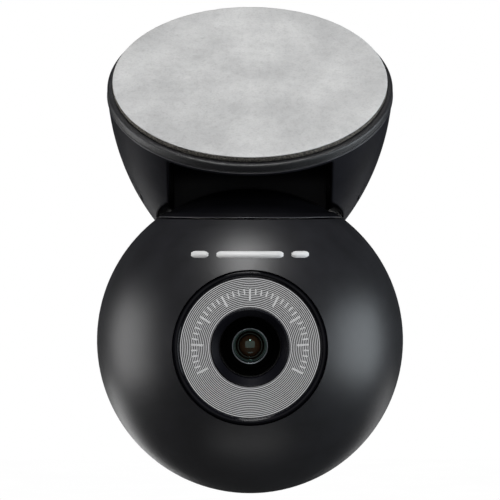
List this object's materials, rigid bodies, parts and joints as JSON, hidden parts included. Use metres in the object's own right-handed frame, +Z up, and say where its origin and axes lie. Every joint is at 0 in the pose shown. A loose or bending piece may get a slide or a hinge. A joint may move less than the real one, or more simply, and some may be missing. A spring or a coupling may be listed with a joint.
{
  "type": "dash camera",
  "caption": "Ball-shaped rear-window dash camera hanging from a bowl-shaped adhesive mount, with a recessed lens in a grooved silver ring, a pan swivel and a tilt hinge.",
  "frame": {"origin": "centre of the adhesive face", "axes": "+Z up, lens facing -Y, +X to the right seen from in front of the lens looking along +Y"},
  "size_m": [0.04, 0.0423, 0.0646],
  "materials": {
    "liner": "satin, mottled release film",
    "foam": "matte closed-cell foam",
    "plate_plastic": "fine moulded texture",
    "mount_plastic": "satin moulded",
    "ball_plastic": "satin soft-touch",
    "cap_plastic": "satin moulded",
    "trim_gloss": "high gloss",
    "dial_silver": "fine concentric grooves",
    "bezel_black": "semi gloss",
    "barrel_black": "matte black",
    "lens_glass": "coated polished glass",
    "filter_glass": "tinted filter",
    "stop_black": "dead matte",
    "seal_rubber": "matte",
    "steel": "zinc plated",
    "black_steel": "black oxide",
    "brass": "plated",
    "nickel": "satin nickel",
    "bearing_plastic": "natural acetal",
    "board_green": "solder mask",
    "chip_black": "epoxy",
    "sensor_die": "glass-topped die",
    "small_parts": "ceramic",
    "connector_plastic": "nylon",
    "cable_black": "satin jacket",
    "washer_black": "matte filled nylon"
  },
  "bodies": {
    "mount": {"release_liner": "liner", "adhesive_pad": "foam", "mount_plate": "plate_plastic", "plate_screws": "steel", "mount_housing": "mount_plastic", "tilt_pin": "steel", "pin_caps": "mount_plastic", "friction_washers": "washer_black", "jack_sleeve": "brass", "jack_body": "chip_black", "jack_contacts": "brass", "jack_collar": "nickel", "socket_board": "board_green", "socket_board_screws": "steel", "mount_cable": "cable_black"},
    "swivel": {"swivel_cap": "cap_plastic", "glide_washer": "bearing_plastic", "wave_washer": "steel", "retaining_clip": "steel", "neck_cable": "cable_black"},
    "camera": {"front_shell": "ball_plastic", "rear_shell": "ball_plastic", "pan_bush": "bearing_plastic", "trim_ring": "trim_gloss", "dial_ring": "dial_silver", "lens_bezel": "bezel_black", "lens_barrel": "barrel_black", "lens_retainer": "barrel_black", "front_lens": "lens_glass", "middle_lens": "lens_glass", "rear_lens": "lens_glass", "aperture_stop": "stop_black", "ir_filter": "filter_glass", "lens_seal": "seal_rubber", "lens_holder": "chip_black", "holder_screws": "steel", "image_sensor": "sensor_die", "main_board": "board_green", "video_chip": "chip_black", "board_parts": "small_parts", "cable_connector": "connector_plastic", "board_screws": "steel", "shell_screws": "black_steel", "head_cable": "cable_black"}
  },
  "joints": [
    {"name": "tilt", "type": "hinge", "parent": "mount", "child": "swivel", "pos_m": [0, 0.0025, -0.0137], "axis": [-1, 0, 0], "range_deg": [-15, 5]},
    {"name": "pan", "type": "hinge", "parent": "swivel", "child": "camera", "pos_m": [0, -0.0025, -0.0342], "axis": [0, 0, 1], "range_deg": [-45, 45]}
  ]
}
